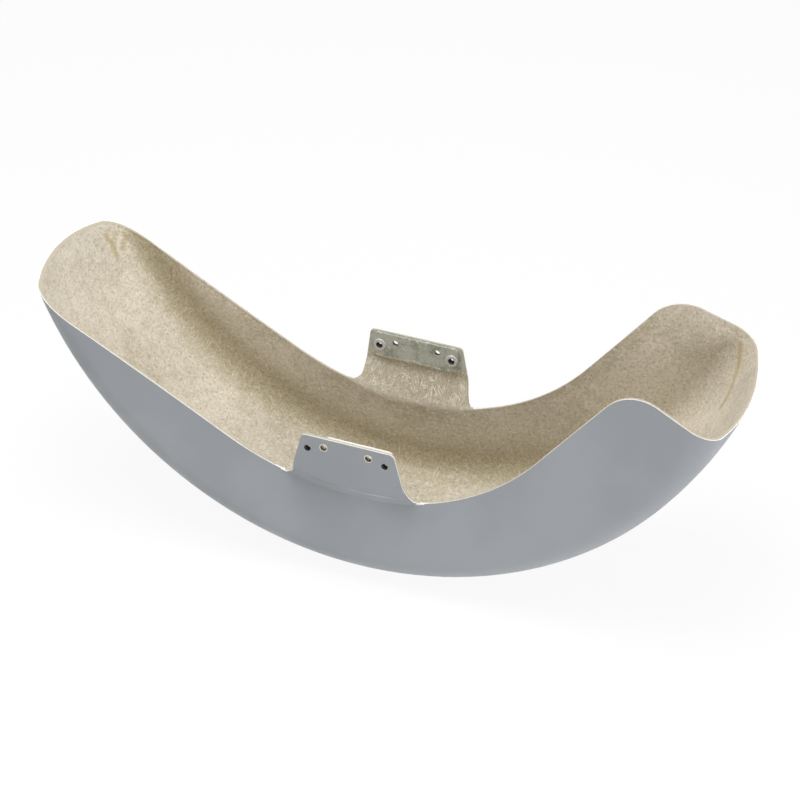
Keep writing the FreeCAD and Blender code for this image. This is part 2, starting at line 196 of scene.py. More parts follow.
def strandLayer(tree, lay, layer):
    turn = layer["turn"]
    warped = put(tree, "Mapping", {"Vector": lay, "Location": (turn, 2 * turn, 0),
                                   "Rotation": (0, 0, turn)}).outputs[0]
    cells = put(tree, "TexVoronoi", {"Vector": warped, "Scale": layer["patch"],
                                     "Randomness": 1.0}, voronoi_dimensions="2D")
    fromCell = put(tree, "VectorMath", {0: warped, 1: cells.outputs["Position"]},
                   operation="SUBTRACT").outputs[0]
    pick = put(tree, "SeparateColor", {"Color": cells.outputs["Color"]}).outputs[0]
    spun = put(tree, "VectorRotate", {"Vector": fromCell, "Angle": times(tree, pick, 2 * math.pi)},
               rotation_type="Z_AXIS").outputs[0]
    drawn = put(tree, "Mapping", {"Vector": spun, "Location": (turn, 0, 0),
                                  "Scale": (layer["along"], layer["across"], 1)}).outputs[0]
    lines = put(tree, "TexNoise", {"Vector": drawn, "Scale": 1.0, "Detail": 1.0},
                noise_dimensions="2D").outputs["Fac"]
    return remap(tree, lines, *layer["range"])


def laminateFinish():
    material, tree, shader = newFinish("strandLaminate")
    lay = put(tree, "UVMap", uv_map="lay").outputs["UV"]
    place = put(tree, "TexCoord").outputs["Object"]
    # pale share: partly dry mat, partly painted light
    paleAndLitShare = put(tree, "Attribute", attribute_name="paleAndLit").outputs["Fac"]
    foldShare = put(tree, "Attribute", attribute_name="fold").outputs["Fac"]
    strands = 0.0
    for layer in strandLayers:
        strands = largest(tree, strandLayer(tree, lay, layer), strands)
    broad = cloud(tree, place, *laminate["broad"])
    patchy = cloud(tree, place, *laminate["patchy"])
    ripple = cloud(tree, place, *laminate["ripple"])
    speck = cloud(tree, place, *laminate["speck"])
    glints = patches(tree, place, laminate["glints"])
    # where the amber corner and the tabs are
    flat = put(tree, "SeparateXYZ", {"Vector": lay})
    lengthwise, sideways = flat.outputs["X"], flat.outputs["Y"]
    across = sums(tree, "ABSOLUTE", sideways)
    wave = laminate["cornerWave"]
    wavy = sums(tree, "ADD", across, scaled(tree, patchy, wave, -wave / 2))
    corner = times(tree, remap(tree, wavy, *laminate["cornerRise"]),
                   remap(tree, wavy, *laminate["cornerFall"]))
    corner = times(tree, corner, remap(tree, sideways, *laminate["cornerBySide"]))
    corner = times(tree, corner, remap(tree, lengthwise, *laminate["cornerByLength"]))
    tab = remap(tree, across, *laminate["tabEdge"])
    # mat soaked with resin, with painted shade in the corner, its pits, painted glints that are
    # partly dry strand ends and partly painted highlights, strands and folds
    damp = sums(tree, "ADD", times(tree, broad, laminate["wetBroad"]),
                times(tree, patchy, laminate["wetPatchy"]))
    wet = times(tree, remap(tree, damp, *laminate["wetRange"]),
                scaled(tree, paleAndLitShare, -laminate["wetPaleLoss"], laminate["wetSoak"]))
    # the corner's amber is partly resin and partly painted shade
    soakedAndShaded = largest(tree, times(tree, corner, laminate["cornerSoakAndShade"]),
                     times(tree, tab, laminate["tabSoak"]))
    soakedAndShaded = largest(tree, soakedAndShaded, wet)
    base = blend(tree, paleAndLitShare, laminate["tan"], laminate["paleAndLit"])
    base = blend(tree, soakedAndShaded, base, laminate["amber"])
    pits = remap(tree, speck, *laminate["pitRange"])
    base = blend(tree, times(tree, pits, laminate["pitShare"]), base, laminate["deep"])
    # glints: partly dry strand ends, partly painted highlights, fewer where resin soaks
    glintShown = scaled(tree, soakedAndShaded, -laminate["glintSoakLoss"], laminate["glintShare"])
    base = blend(tree, times(tree, glints, glintShown), base, laminate["strandAndGlint"])
    clusters = times(tree, tab, remap(tree, patchy, *laminate["clusterRange"]))
    shown = scaled(tree, clusters, laminate["clusterShare"], laminate["strandShare"])
    base = blend(tree, times(tree, strands, shown), base, laminate["strandAndGlint"])
    base = blend(tree, times(tree, foldShare, laminate["resinShare"]), base, laminate["resin"])
    # metal under a thin film of resin, over the ragged line of the tabs, with a painted sheen and
    # painted glints
    spot = put(tree, "SeparateXYZ", {"Vector": place})
    ragged = laminate["metalRagged"]
    line = scaled(tree, spot.outputs["X"], math.tan(tabTilt), spot.outputs["Z"])
    line = sums(tree, "ADD", line, scaled(tree, patchy, ragged, -ragged / 2))
    fromTab = sums(tree, "SUBTRACT", spot.outputs["X"], laminate["metalMiddle"])
    fromTab = sums(tree, "ABSOLUTE", fromTab)
    metal = times(tree, tab, remap(tree, line, *laminate["metalRise"]))
    metal = times(tree, metal, remap(tree, fromTab, *laminate["metalReach"]))
    sheenShare = remap(tree, ripple, *laminate["sheenRange"])
    sheen = blend(tree, sheenShare, laminate["metal"], laminate["metalShade"])
    sheen = blend(tree, times(tree, glints, laminate["metalGlint"]), sheen, laminate["strandAndGlint"])
    feed(tree, shader.inputs["Base Color"], blend(tree, metal, base, sheen))
    gloss = remap(tree, patchy, *laminate["glossRange"], *laminate["roughness"])
    feed(tree, shader.inputs["Roughness"], gloss)
    height = scaled(tree, strands, laminate["strandHeight"], ripple)
    height = scaled(tree, speck, laminate["speckHeight"], height)
    roughen(tree, shader, height, laminate["bumpStrength"], laminate["bumpDepth"])
    return material


# sawn and sanded edge, where the cut strands show pale and the near-white outer colour is also a
# painted highlight where the edge catches the light, with a tan line along the inside
cutEdge = {
    "colour": srgb(243, 242, 238), "shade": srgb(216, 211, 199), "inner": srgb(188, 179, 160),
    "ends": (800.0, 3.0, 0.6), "shadeRange": (0.50, 0.72),
    "ragged": 0.4, "innerRange": (0.20, 0.36),
    "roughness": 0.6, "bumpStrength": 0.3, "bumpDepth": 0.2 * mm,
}


def cutEdgeFinish():
    material, tree, shader = newFinish("cutEdge")
    place = put(tree, "TexCoord").outputs["Object"]
    inwardShare = put(tree, "Attribute", attribute_name="inward").outputs["Fac"]
    ends = cloud(tree, place, *cutEdge["ends"])
    shade = remap(tree, ends, *cutEdge["shadeRange"])
    tint = blend(tree, shade, cutEdge["colour"], cutEdge["shade"])
    wander = scaled(tree, ends, cutEdge["ragged"], -cutEdge["ragged"] / 2)
    inner = remap(tree, sums(tree, "ADD", inwardShare, wander), *cutEdge["innerRange"])
    feed(tree, shader.inputs["Base Color"], blend(tree, inner, tint, cutEdge["inner"]))
    feed(tree, shader.inputs["Roughness"], cutEdge["roughness"])
    roughen(tree, shader, ends, cutEdge["bumpStrength"], cutEdge["bumpDepth"])
    return material


# walls of the plain drilled holes, painted dark as painted shade inside the holes, with pale dust
bored = {"colour": srgb(88, 80, 68), "dust": srgb(190, 180, 160), "roughness": 0.75,
         "dusty": {"noise": (700.0, 2.0, 0.6), "range": (0.54, 0.66)}}


def boredFinish():
    material, tree, shader = newFinish("shadedBoreWall")
    place = put(tree, "TexCoord").outputs["Object"]
    dusty = patches(tree, place, bored["dusty"])
    feed(tree, shader.inputs["Base Color"], blend(tree, dusty, bored["colour"], bored["dust"]))
    feed(tree, shader.inputs["Roughness"], bored["roughness"])
    return material


# steel strip under a thin uneven film of resin
stripSteel = {
    "colour": srgb(196, 200, 192), "film": srgb(150, 156, 140), "spot": srgb(236, 236, 230),
    "filmed": {"noise": (90.0, 4.0, 0.6), "range": (0.4, 0.65)},
    "spots": {"noise": (340.0, 3.0, 0.75), "range": (0.54, 0.66)}, "spotShare": 0.8,
    "metallic": (0.35, 0.1), "roughness": (0.36, 0.50),  # bare, and under the film
    "relief": (260.0, 3.0, 0.6), "bumpStrength": 0.5, "bumpDepth": 0.3 * mm,
}


def stripFinish():
    material, tree, shader = newFinish("stripSteel")
    place = put(tree, "TexCoord").outputs["Object"]
    film = patches(tree, place, stripSteel["filmed"])
    spots = times(tree, patches(tree, place, stripSteel["spots"]), stripSteel["spotShare"])
    tint = blend(tree, film, stripSteel["colour"], stripSteel["film"])
    feed(tree, shader.inputs["Base Color"], blend(tree, spots, tint, stripSteel["spot"]))
    feed(tree, shader.inputs["Metallic"], remap(tree, film, 0.0, 1.0, *stripSteel["metallic"]))
    feed(tree, shader.inputs["Roughness"], remap(tree, film, 0.0, 1.0, *stripSteel["roughness"]))
    relief = cloud(tree, place, *stripSteel["relief"])
    roughen(tree, shader, relief, stripSteel["bumpStrength"], stripSteel["bumpDepth"])
    return material


# turned steel of the inserts, and the near-black thread inside them
insertSteel = {
    "colour": srgb(226, 226, 223), "turned": srgb(198, 198, 196), "noise": (1400.0, 2.0),
    "metallic": 0.4, "roughness": (0.32, 0.44), "glossRange": (0.3, 0.7),
    "thread": srgb(52, 50, 47), "threadShade": srgb(92, 88, 82), "threadTone": (900.0, 2.0),
    "threadToneRange": (0.5, 0.75), "threadMetallic": 0.5, "threadRoughness": (0.32, 0.5),
}


def insertFinish():
    material, tree, shader = newFinish("insertSteel")
    turned = cloud(tree, put(tree, "TexCoord").outputs["Object"], *insertSteel["noise"])
    tint = blend(tree, turned, insertSteel["colour"], insertSteel["turned"])
    gloss = remap(tree, turned, *insertSteel["glossRange"], *insertSteel["roughness"])
    feed(tree, shader.inputs["Base Color"], tint)
    feed(tree, shader.inputs["Metallic"], insertSteel["metallic"])
    feed(tree, shader.inputs["Roughness"], gloss)
    return material


def threadFinish():
    material, tree, shader = newFinish("darkThread")
    threadTone = cloud(tree, put(tree, "TexCoord").outputs["Object"], *insertSteel["threadTone"])
    toned = remap(tree, threadTone, *insertSteel["threadToneRange"])
    tint = blend(tree, toned, insertSteel["thread"], insertSteel["threadShade"])
    gloss = remap(tree, threadTone, *insertSteel["glossRange"], *insertSteel["threadRoughness"])
    feed(tree, shader.inputs["Base Color"], tint)
    feed(tree, shader.inputs["Metallic"], insertSteel["threadMetallic"])
    feed(tree, shader.inputs["Roughness"], gloss)
    return material


# mounts by name, and the middles of a pair's two holes
mounts = {mount["name"]: mount for mount in frame["record"]["mounts"]}


def pairOf(name):
    mount = mounts[name]
    reach = mount["dims"]["pcd_mm"] * mm / 2
    middle = Vector(mount["pos_m"])
    along = Vector((math.cos(tabTilt), 0, -math.sin(tabTilt)))
    return [middle - along * reach, middle + along * reach]


def awayFrom(point, holes):
    return min(math.hypot(point.x - hole.x, point.z - hole.z) for hole in holes)


plainHoles = pairOf("left_plain_pair")
plainRadius = mounts["left_plain_pair"]["dims"]["hole_r_mm"] * mm
gelcoatMaterial = gelcoatFinish("greyGelcoat", gelcoat["colour"], plainHoles, plainRadius)
# lighter copy of the gelcoat that paints the highlight along the creases
highlightGelcoatMaterial = gelcoatFinish("paintedHighlightGelcoat", gelcoat["creaseHighlight"], plainHoles, plainRadius)
laminateMaterial = laminateFinish()
edgeMaterial = cutEdgeFinish()
boredMaterial = boredFinish()
stripMaterial = stripFinish()
insertMaterial = insertFinish()
threadMaterial = threadFinish()
print("finishes made")


# wheel axis and the line of points inside the channel from which its skin is seen
wheel = {"axisX": 10.9 * mm, "axisZ": 350 * mm, "coreRadius": 285 * mm,
         "layAlong": 330 * mm, "layAcross": 100 * mm}


def corePoint(turn):
    return Vector((wheel["axisX"] + wheel["coreRadius"] * math.sin(turn), 0,
                   wheel["axisZ"] - wheel["coreRadius"] * math.cos(turn)))


def coreRay(turn, swing):
    return Vector((math.sin(turn) * math.cos(swing), math.sin(swing),
                   -math.cos(turn) * math.cos(swing)))


def turnOf(point):
    return math.atan2(point.x - wheel["axisX"], wheel["axisZ"] - point.z)


def swingOf(point):
    fromAxis = math.hypot(point.x - wheel["axisX"], wheel["axisZ"] - point.z)
    return math.atan2(point.y, fromAxis - wheel["coreRadius"])


def layOut(bm):
    lay = bm.loops.layers.uv.new("lay")
    for face in bm.faces:
        for loop in face.loops:
            point = loop.vert.co
            loop[lay].uv = (turnOf(point) * wheel["layAlong"], swingOf(point) * wheel["layAcross"])


def clamp(value):
    return max(0.0, min(1.0, value))


def ease(value):
    share = clamp(value)
    return share * share * (3 - 2 * share)


def ramp(value, start, end):
    return ease((value - start) / (end - start))


def waveHeight(point, waves):
    return sum(depth * noise.noise(point * scale) for scale, depth in waves)


# the laminate is painted palest partly where little resin lay and partly as painted light where
# the lamps fall: high on the tip, along the near side and at the rear's low corner; the far side
# of the rear end is darkened as painted shade
palenessAndLight = {
    "base": 0.36, "driftScale": 13.0, "drift": 0.5,
    "tipTurns": (math.radians(-22), math.radians(-50)), "tip": 0.45,
    "nearFrom": 20 * mm, "nearReach": 70 * mm, "near": 0.22,
    "rearTurns": (math.radians(22), math.radians(42)), "rear": 0.45, "rearFar": 0.9,
    "endTurns": (math.radians(52), math.radians(62)), "farEndShade": 0.5,
}


def paint(bm):
    paleAndLit = bm.verts.layers.float.new("paleAndLit")
    for vert in bm.verts:
        turn = turnOf(vert.co)
        side = ease((palenessAndLight["nearFrom"] - vert.co.y) / palenessAndLight["nearReach"])
        farSide = ease(vert.co.y / palenessAndLight["nearReach"])
        amount = palenessAndLight["base"]
        amount += palenessAndLight["drift"] * noise.noise(vert.co * palenessAndLight["driftScale"])
        amount += palenessAndLight["tip"] * ramp(turn, *palenessAndLight["tipTurns"])
        amount += palenessAndLight["near"] * side
        rear = ramp(turn, *palenessAndLight["rearTurns"])
        amount += rear * (palenessAndLight["rearFar"] + palenessAndLight["rear"] * side)
        # painted shade on the far side of the rear end
        amount -= palenessAndLight["farEndShade"] * ramp(turn, *palenessAndLight["endTurns"]) * farSide
        vert[paleAndLit] = clamp(amount)


# mesh helpers
def newGrid(columns, rows, size=1):
    bm = bmesh.new()
    bmesh.ops.create_grid(bm, x_segments=columns, y_segments=rows, size=size)
    return bm


def turnFaces(bm, sample, towards):
    if sample.normal.dot(towards) < 0:
        bmesh.ops.reverse_faces(bm, faces=bm.faces[:])
    for face in bm.faces:
        face.smooth = True


def sharpen(bm, angle):
    for edge in bm.edges:
        if len(edge.link_faces) == 2 and edge.calc_face_angle(0) > angle:
            edge.smooth = False


def finishPiece(name, bm, materials):
    mesh = bpy.data.meshes.new(name)
    bm.to_mesh(mesh)
    bm.free()
    for material in materials:
        mesh.materials.append(material)
    piece = bpy.data.objects.new(name, mesh)
    scene.collection.objects.link(piece)
    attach(piece, "root")
    return piece


def thicken(piece, thickness):
    wall = piece.modifiers.new("thickness", "SOLIDIFY")
    wall.thickness = thickness
    wall.offset = -1


# shell: the CAD skin with its outside, inside, cut edges and drilled holes told apart
shell = {"weld": 0.002 * mm, "skin": 5 * mm, "rayStart": 0.02 * mm, "parallel": 0.85,
         "facing": 0.75, "boreMargin": 0.2 * mm, "smooth": math.radians(32)}
outside, inside, sawn, drilled = 0, 1, 2, 3

# tab sides as the photograph shows them: moves at a tab's top and at its foot,
# and how much of a foot's fillet is taken in
tabs = {
    "middle": Vector((-6.53, 0, 147.8)) * mm, "top": 14.2 * mm, "foot": -36 * mm,
    "tipTop": -43.6 * mm, "rearTop": 47.5 * mm, "spread": math.radians(12), "inner": 76 * mm,
    "corner": 5 * mm, "blend": 2.5 * mm, "holeKeep": 4.2 * mm,
    "rimUp": -44 * mm, "rimMargin": 4 * mm, "rimBlend": 10 * mm,
    "filletReach": 14 * mm, "filletOver": 4 * mm, "filletFade": 6 * mm, "filletDrop": 0.22,
    "ledgeFrom": -58 * mm, "ledgeTo": 62 * mm, "ledgeHeight": 8 * mm, "ledgeUp": 0.6,
}
tabTrims = (
    {"side": 1, "end": -1, "top": -4.9 * mm, "foot": 1.8 * mm, "fillet": 0.45},
    {"side": 1, "end": 1, "top": -1.2 * mm, "foot": 0.2 * mm, "fillet": 0.65},
    {"side": -1, "end": 1, "top": -2.1 * mm, "foot": 2.5 * mm, "fillet": 0.0},
)


def tabPlace(point):
    x, z = point.x - tabs["middle"].x, point.z - tabs["middle"].z
    along = x * math.cos(tabTilt) - z * math.sin(tabTilt)
    up = x * math.sin(tabTilt) + z * math.cos(tabTilt)
    return along, up


def trimTabs(bm):
    holes = pairOf("left_insert_pair") + plainHoles
    for trim in tabTrims:
        start = tabs["tipTop"] if trim["end"] < 0 else tabs["rearTop"]
        for vert in bm.verts:
            along, up = tabPlace(vert.co)
            outward = (along - start) * trim["end"]
            beyond = outward - (tabs["top"] - up) * math.tan(tabs["spread"])
            if vert.co.y * trim["side"] < tabs["inner"] or beyond > tabs["filletReach"]:
                continue
            if up < tabs["rimUp"] - tabs["rimMargin"]:
                continue
            if awayFrom(vert.co, holes) < tabs["holeKeep"]:
                continue
            share = (tabs["top"] - up) / (tabs["top"] - tabs["foot"])
            weight = clamp((outward + tabs["corner"]) / tabs["blend"])
            weight *= ease((up - tabs["rimUp"]) / tabs["rimBlend"])
            vert.co.x += weight * (trim["top"] + (trim["foot"] - trim["top"]) * share)
            if beyond > 0 and up < tabs["foot"] + tabs["filletOver"]:
                taken = beyond * trim["fillet"]
                taken *= ease((tabs["filletReach"] - beyond) / tabs["filletFade"])
                drop = tabs["filletDrop"] * ease((tabs["foot"] - up) / tabs["filletFade"])
                vert.co.x -= trim["end"] * taken
                vert.co.z -= drop * taken


# kind of a face between the skins: the ledge at a tab's foot belongs to the inside
def edgeKind(face, middle):
    if abs(middle.y) <= tabs["inner"]:
        return sawn
    along, up = tabPlace(middle)
    atFoot = up < tabs["rimUp"] + tabs["ledgeHeight"]
    if atFoot and tabs["ledgeFrom"] < along < tabs["ledgeTo"] and face.normal.z > tabs["ledgeUp"]:
        return inside
    return drilled if awayFrom(middle, plainHoles) < plainRadius + shell["boreMargin"] else sawn


def shellSkins():
    bm = bmesh.new()
    bm.from_mesh(frame["nodes"]["fender_shell"].data)
    bmesh.ops.remove_doubles(bm, verts=bm.verts[:], dist=shell["weld"])
    bmesh.ops.dissolve_degenerate(bm, edges=bm.edges[:], dist=shell["weld"])
    trimTabs(bm)
    bm.normal_update()
    bm.faces.ensure_lookup_table()
    tree = BVHTree.FromBMesh(bm)
    for face in bm.faces:
        middle = face.calc_center_median()
        facing = face.normal.dot((corePoint(turnOf(middle)) - middle).normalized())
        start = middle - face.normal * shell["rayStart"]
        hit, normal, index, depth = tree.ray_cast(start, -face.normal)
        skin = abs(facing) > shell["facing"]
        if hit is not None and depth < shell["skin"]:
            skin = skin or normal.dot(face.normal) < -shell["parallel"]
        if skin:
            face.material_index = inside if facing > 0 else outside
        else:
            face.material_index = edgeKind(face, middle)
        face.smooth = True
    return bm, tree


shellMesh, shellTree = shellSkins()
shellClass = [face.material_index for face in shellMesh.faces]
sharpen(shellMesh, shell["smooth"])
layOut(shellMesh)
paint(shellMesh)
inwardLayer = shellMesh.verts.layers.float.new("inward")
for vert in shellMesh.verts:
    vert[inwardLayer] = float(any(face.material_index == inside for face in vert.link_faces))
shellFinishes = [gelcoatMaterial, laminateMaterial, edgeMaterial, boredMaterial]
fenderShell = finishPiece("fenderShell", shellMesh, shellFinishes)
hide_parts("fender_shell")
print("shell faces outside, inside, sawn, drilled:",
      [shellClass.count(kind) for kind in (outside, inside, sawn, drilled)])


# camera at the photograph's place
view = {"azimuth": 19.35, "elevation": 32.89, "roll": 0.285, "distance": 1928.3 * mm,
        "focalPixels": 2042.6, "target": Vector((10.56, 0, 153.16)) * mm, "frame": 800,
        "sensor": 36.0}


def addCamera():
    azimuth = math.radians(view["azimuth"])
    elevation = math.radians(view["elevation"])
    back = Vector((math.sin(azimuth) * math.cos(elevation),
                   -math.cos(azimuth) * math.cos(elevation), math.sin(elevation)))
    roll = Quaternion((0, 0, 1), math.radians(view["roll"]))
    lens = bpy.data.cameras.new("camera")
    lens.sensor_width = view["sensor"]
    lens.lens = view["focalPixels"] * view["sensor"] / view["frame"]
    camera = bpy.data.objects.new("camera", lens)
    camera.rotation_mode = "QUATERNION"
    camera.location = view["target"] + back * view["distance"]
    camera.rotation_quaternion = (-back).to_track_quat("-Z", "Y") @ roll
    scene.collection.objects.link(camera)
    scene.camera = camera
    return camera


camera = addCamera()


def pixelOnShell(pixel):
    half = view["frame"] / 2
    ray = Vector((pixel[0] - half, half - pixel[1], -view["focalPixels"]))
    return shellTree.ray_cast(camera.location, camera.rotation_quaternion @ ray.normalized())[0]


# hand-laid relief of the inner skin, with the folds that the photograph shows
lining = {
    "tipTurn": math.radians(-76), "rearTurn": math.radians(70), "columns": 290, "rows": 140,
    "swingStep": math.radians(2), "swingMost": math.radians(135), "halvings": 7,
    "tabHalf": 70 * mm, "lift": 0.35 * mm, "sink": 0.35 * mm, "border": 9 * mm,
    "thickness": 0.6 * mm, "foldReach": 3,  # in half widths of a fold
    "waves": ((26.0, 0.45 * mm), (70.0, 0.28 * mm), (190.0, 0.12 * mm)),
}
# photo pixels along each fold, its height and half width, and its share of yellow resin
folds = {
    "tipFold": {"pixels": ((104, 235), (112, 245), (116, 257)),
                "height": 1.1 * mm, "width": 2.2 * mm, "resin": 1.0},
    "tipFork": {"pixels": ((115, 232), (113, 243)),
                "height": 0.8 * mm, "width": 2.0 * mm, "resin": 0.8},
    "cornerFold": {"pixels": ((127, 228), (124, 239), (122, 248)),
                   "height": 1.0 * mm, "width": 2.2 * mm, "resin": 1.0},
    "matOverlap": {"pixels": ((434, 482), (446, 491), (457, 499)),
                   "height": 0.7 * mm, "width": 1.5 * mm, "resin": 0.4},
    "rearCrease": {"pixels": ((741, 342), (739, 366), (728, 397), (722, 407)),
                   "height": 0.9 * mm, "width": 2.6 * mm, "resin": 0.9},
    "strandEnd": {"pixels": ((647, 342), (653, 336)),
                  "height": 0.6 * mm, "width": 1.2 * mm, "resin": 0.0},
    "resinBead": {"pixels": ((699, 323), (700, 325)),
                  "height": 1.4 * mm, "width": 2.0 * mm, "resin": 0.0},
}
foldLines = []
for fold in folds.values():
    points = [pixelOnShell(pixel) for pixel in fold["pixels"]]
    foldLines.append((fold, [point for point in points if point is not None]))


def foldShape(point):
    height, resin = 0.0, 0.0
    for fold, points in foldLines:
        for start, end in zip(points, points[1:]):
            run = end - start
            share = clamp((point - start).dot(run) / run.length_squared)
            away = (point - start - run * share).length / fold["width"]
            if away < lining["foldReach"]:
                swell = math.exp(-away ** 2)
                height = max(height, fold["height"] * swell)
                resin = max(resin, fold["resin"] * swell)
    return height, resin


def skinHit(turn, swing):
    hit, normal, index, depth = shellTree.ray_cast(corePoint(turn), coreRay(turn, swing))
    if hit is None or shellClass[index] != inside:
        return None
    return hit, normal


def lastSwing(turn, side):
    swing = 0.0
    while swing < lining["swingMost"] and skinHit(turn, side * (swing + lining["swingStep"])):
        swing += lining["swingStep"]
    step = lining["swingStep"] / 2
    for halving in range(lining["halvings"]):
        if skinHit(turn, side * (swing + step)):
            swing += step
        step /= 2
    return swing


def liningColumns():
    count = lining["columns"]
    span = lining["rearTurn"] - lining["tipTurn"]
    tries = [lining["tipTurn"] + span * index / (count * 2) for index in range(count * 2 + 1)]
    covered = [turn for turn in tries if skinHit(turn, 0.0)]
    first, last = covered[0], covered[-1]
    return [first + (last - first) * index / count for index in range(count + 1)]


# swings to the rim on one side, drawn straight past the tab
def rimSwings(turns, side):
    swings = [lastSwing(turn, side) for turn in turns]
    tabX = mounts["left_insert_pair"]["pos_m"][0]
    covered = [abs(corePoint(turn).x - tabX) < lining["tabHalf"] for turn in turns]
    first = covered.index(True)
    last = len(covered) - 1 - covered[::-1].index(True)
    before, after = swings[first - 1], swings[last + 1]
    for index in range(first, last + 1):
        share = (index - first + 1) / (last - first + 2)
        swings[index] = before + (after - before) * share
    return swings


def buildLining():
    turns = liningColumns()
    rims = {side: rimSwings(turns, side) for side in (-1, 1)}
    bm = newGrid(lining["columns"], lining["rows"])
    fold = bm.verts.layers.float.new("fold")
    lost = []
    for vert in bm.verts:
        column = round((vert.co.x + 1) / 2 * lining["columns"])
        share = vert.co.y
        rim = rims[1 if share >= 0 else -1][column]
        found = skinHit(turns[column], rim * share)
        if found is None:
            lost.append(vert)
            continue
        point, normal = found
        fromEnd = min(column, lining["columns"] - column) * (turns[1] - turns[0])
        toEnd = fromEnd * wheel["layAlong"]
        toRim = (1 - abs(share)) * rim * wheel["layAcross"]
        fade = ease(min(toRim, toEnd) / lining["border"])
        height, resin = foldShape(point)
        rise = lining["lift"] + waveHeight(point, lining["waves"]) + height
        vert[fold] = resin * fade
        vert.co = point + normal * (rise * fade - lining["sink"] * (1 - fade))
    bmesh.ops.delete(bm, geom=lost, context="VERTS")
    bmesh.ops.recalc_face_normals(bm, faces=bm.faces[:])
    lowest = min(bm.faces, key=lambda face: face.calc_center_median().z)
    turnFaces(bm, lowest, Vector((0, 0, 1)))
    layOut(bm)
    paint(bm)
    return bm, len(lost)


liningMesh, lostPoints = buildLining()
laminateLining = finishPiece("laminateLining", liningMesh, [laminateMaterial])
thicken(laminateLining, lining["thickness"])
print("lining made,", lostPoints, "points outside the skin")


# steel strips keep their CAD shape
plateMesh = bmesh.new()
for name in ("tab_plate_left", "tab_plate_right"):
    plate = frame["nodes"][name]
    plateMesh.from_mesh(plate.data)
    for slot in plate.material_slots:
        slot.link = "OBJECT"
        slot.material = stripMaterial
plateTree = BVHTree.FromBMesh(plateMesh)
plateMesh.free()
print("strips finished")


# mat on the inner face of a tab: it climbs from the skirt over the strip's lower edge
# and ends ragged
skirtEdge = {"lowX": 10.87 * mm, "height": 96.6 * mm,
             "tipRadius": 276.5 * mm, "rearRadius": 203 * mm}
tabMat = {
    "left": {"side": 1, "tipTop": -48.5 * mm, "tipSpread": math.radians(4.5),
             "rearTop": 46.3 * mm, "rearSpread": math.radians(13.5)},
    "right": {"side": -1, "tipTop": -43.6 * mm, "tipSpread": math.radians(12),
              "rearTop": 45.4 * mm, "rearSpread": math.radians(17)},
    "sideGap": 1.2 * mm, "low": -72 * mm, "high": -9.5 * mm, "seeFrom": 60 * mm,
    "ragged": 5 * mm, "teeth": ((7, 3.0, 0, 1.0), (22, 1.0, 4, 0.5)),  # count, place, row, share
    "footLift": 2.0 * mm, "footWidth": 8 * mm, "across": 84, "up": 56,
    "lift": 0.45 * mm, "sink": 0.4 * mm, "border": 3.5 * mm, "thickness": 0.5 * mm,
    "smooth": 36, "smoothFactor": 0.5,
    "waves": ((60.0, 0.35 * mm), (150.0, 0.25 * mm), (300.0, 0.14 * mm)),
}


def tabSpot(along, up):
    return Vector((tabs["middle"].x + along * math.cos(tabTilt) + up * math.sin(tabTilt), 0,
                   tabs["middle"].z - along * math.sin(tabTilt) + up * math.cos(tabTilt)))


def edgeHeight(x):
    radius = skirtEdge["tipRadius"] if x < skirtEdge["lowX"] else skirtEdge["rearRadius"]
    return skirtEdge["height"] + radius - math.sqrt(radius ** 2 - (x - skirtEdge["lowX"]) ** 2)


def tabDepth(spot, side):
    start = Vector((spot.x, side * tabMat["seeFrom"], spot.z))
    depths = []
    for tree in (shellTree, plateTree):
        hit = tree.ray_cast(start, Vector((0, side, 0)))[0]
        if hit is not None:
            depths.append(abs(hit.y))
    return min(depths) if depths else None


def raggedEnd(share, side):
    height = 0.0
    for count, place, row, part in tabMat["teeth"]:
        height += part * noise.noise(Vector((share * count, side * place, row)))
    return tabMat["ragged"] * height


def buildTabMat(form):
    side = form["side"]
    bm = newGrid(tabMat["across"], tabMat["up"])
    floorOf, fadeOf, lost = {}, {}, []
    for vert in bm.verts:
        alongShare, upShare = (vert.co.x + 1) / 2, (vert.co.y + 1) / 2
        high = tabMat["high"] + raggedEnd(alongShare, side)
        up = tabMat["low"] + (high - tabMat["low"]) * upShare
        under = tabs["top"] - up
        first = form["tipTop"] - under * math.tan(form["tipSpread"]) + tabMat["sideGap"]
        last = form["rearTop"] + under * math.tan(form["rearSpread"]) - tabMat["sideGap"]
        spot = tabSpot(first + (last - first) * alongShare, up)
        depth = tabDepth(spot, side)
        if depth is None:
            lost.append(vert)
            continue
        toSide = min(alongShare, 1 - alongShare) * (last - first)
        toEnd = min(upShare, 1 - upShare) * (tabMat["high"] - tabMat["low"])
        fade = ease(min(toSide, toEnd) / tabMat["border"])
        floorOf[vert], fadeOf[vert] = depth, fade
        fromFoot = (spot.z - edgeHeight(spot.x)) / tabMat["footWidth"]
        overFoot = tabMat["footLift"] * math.exp(-fromFoot ** 2) * fade
        vert.co = Vector((spot.x, side * (depth - overFoot), spot.z))
    bmesh.ops.delete(bm, geom=lost, context="VERTS")
    inner = [vert for vert in bm.verts if not vert.is_boundary]
    for step in range(tabMat["smooth"]):
        bmesh.ops.smooth_vert(bm, verts=inner, factor=tabMat["smoothFactor"], use_axis_y=True)
    for vert in bm.verts:
        fade = fadeOf[vert]
        settled = min(abs(vert.co.y), floorOf[vert])
        rise = tabMat["lift"] + waveHeight(vert.co, tabMat["waves"])
        vert.co.y = side * (settled - rise * fade + tabMat["sink"] * (1 - fade))
    bm.normal_update()
    middle = min(bm.faces, key=lambda face: abs(face.calc_center_median().x - tabs["middle"].x))
    turnFaces(bm, middle, Vector((0, -side, 0)))
    layOut(bm)
    paint(bm)
    return bm


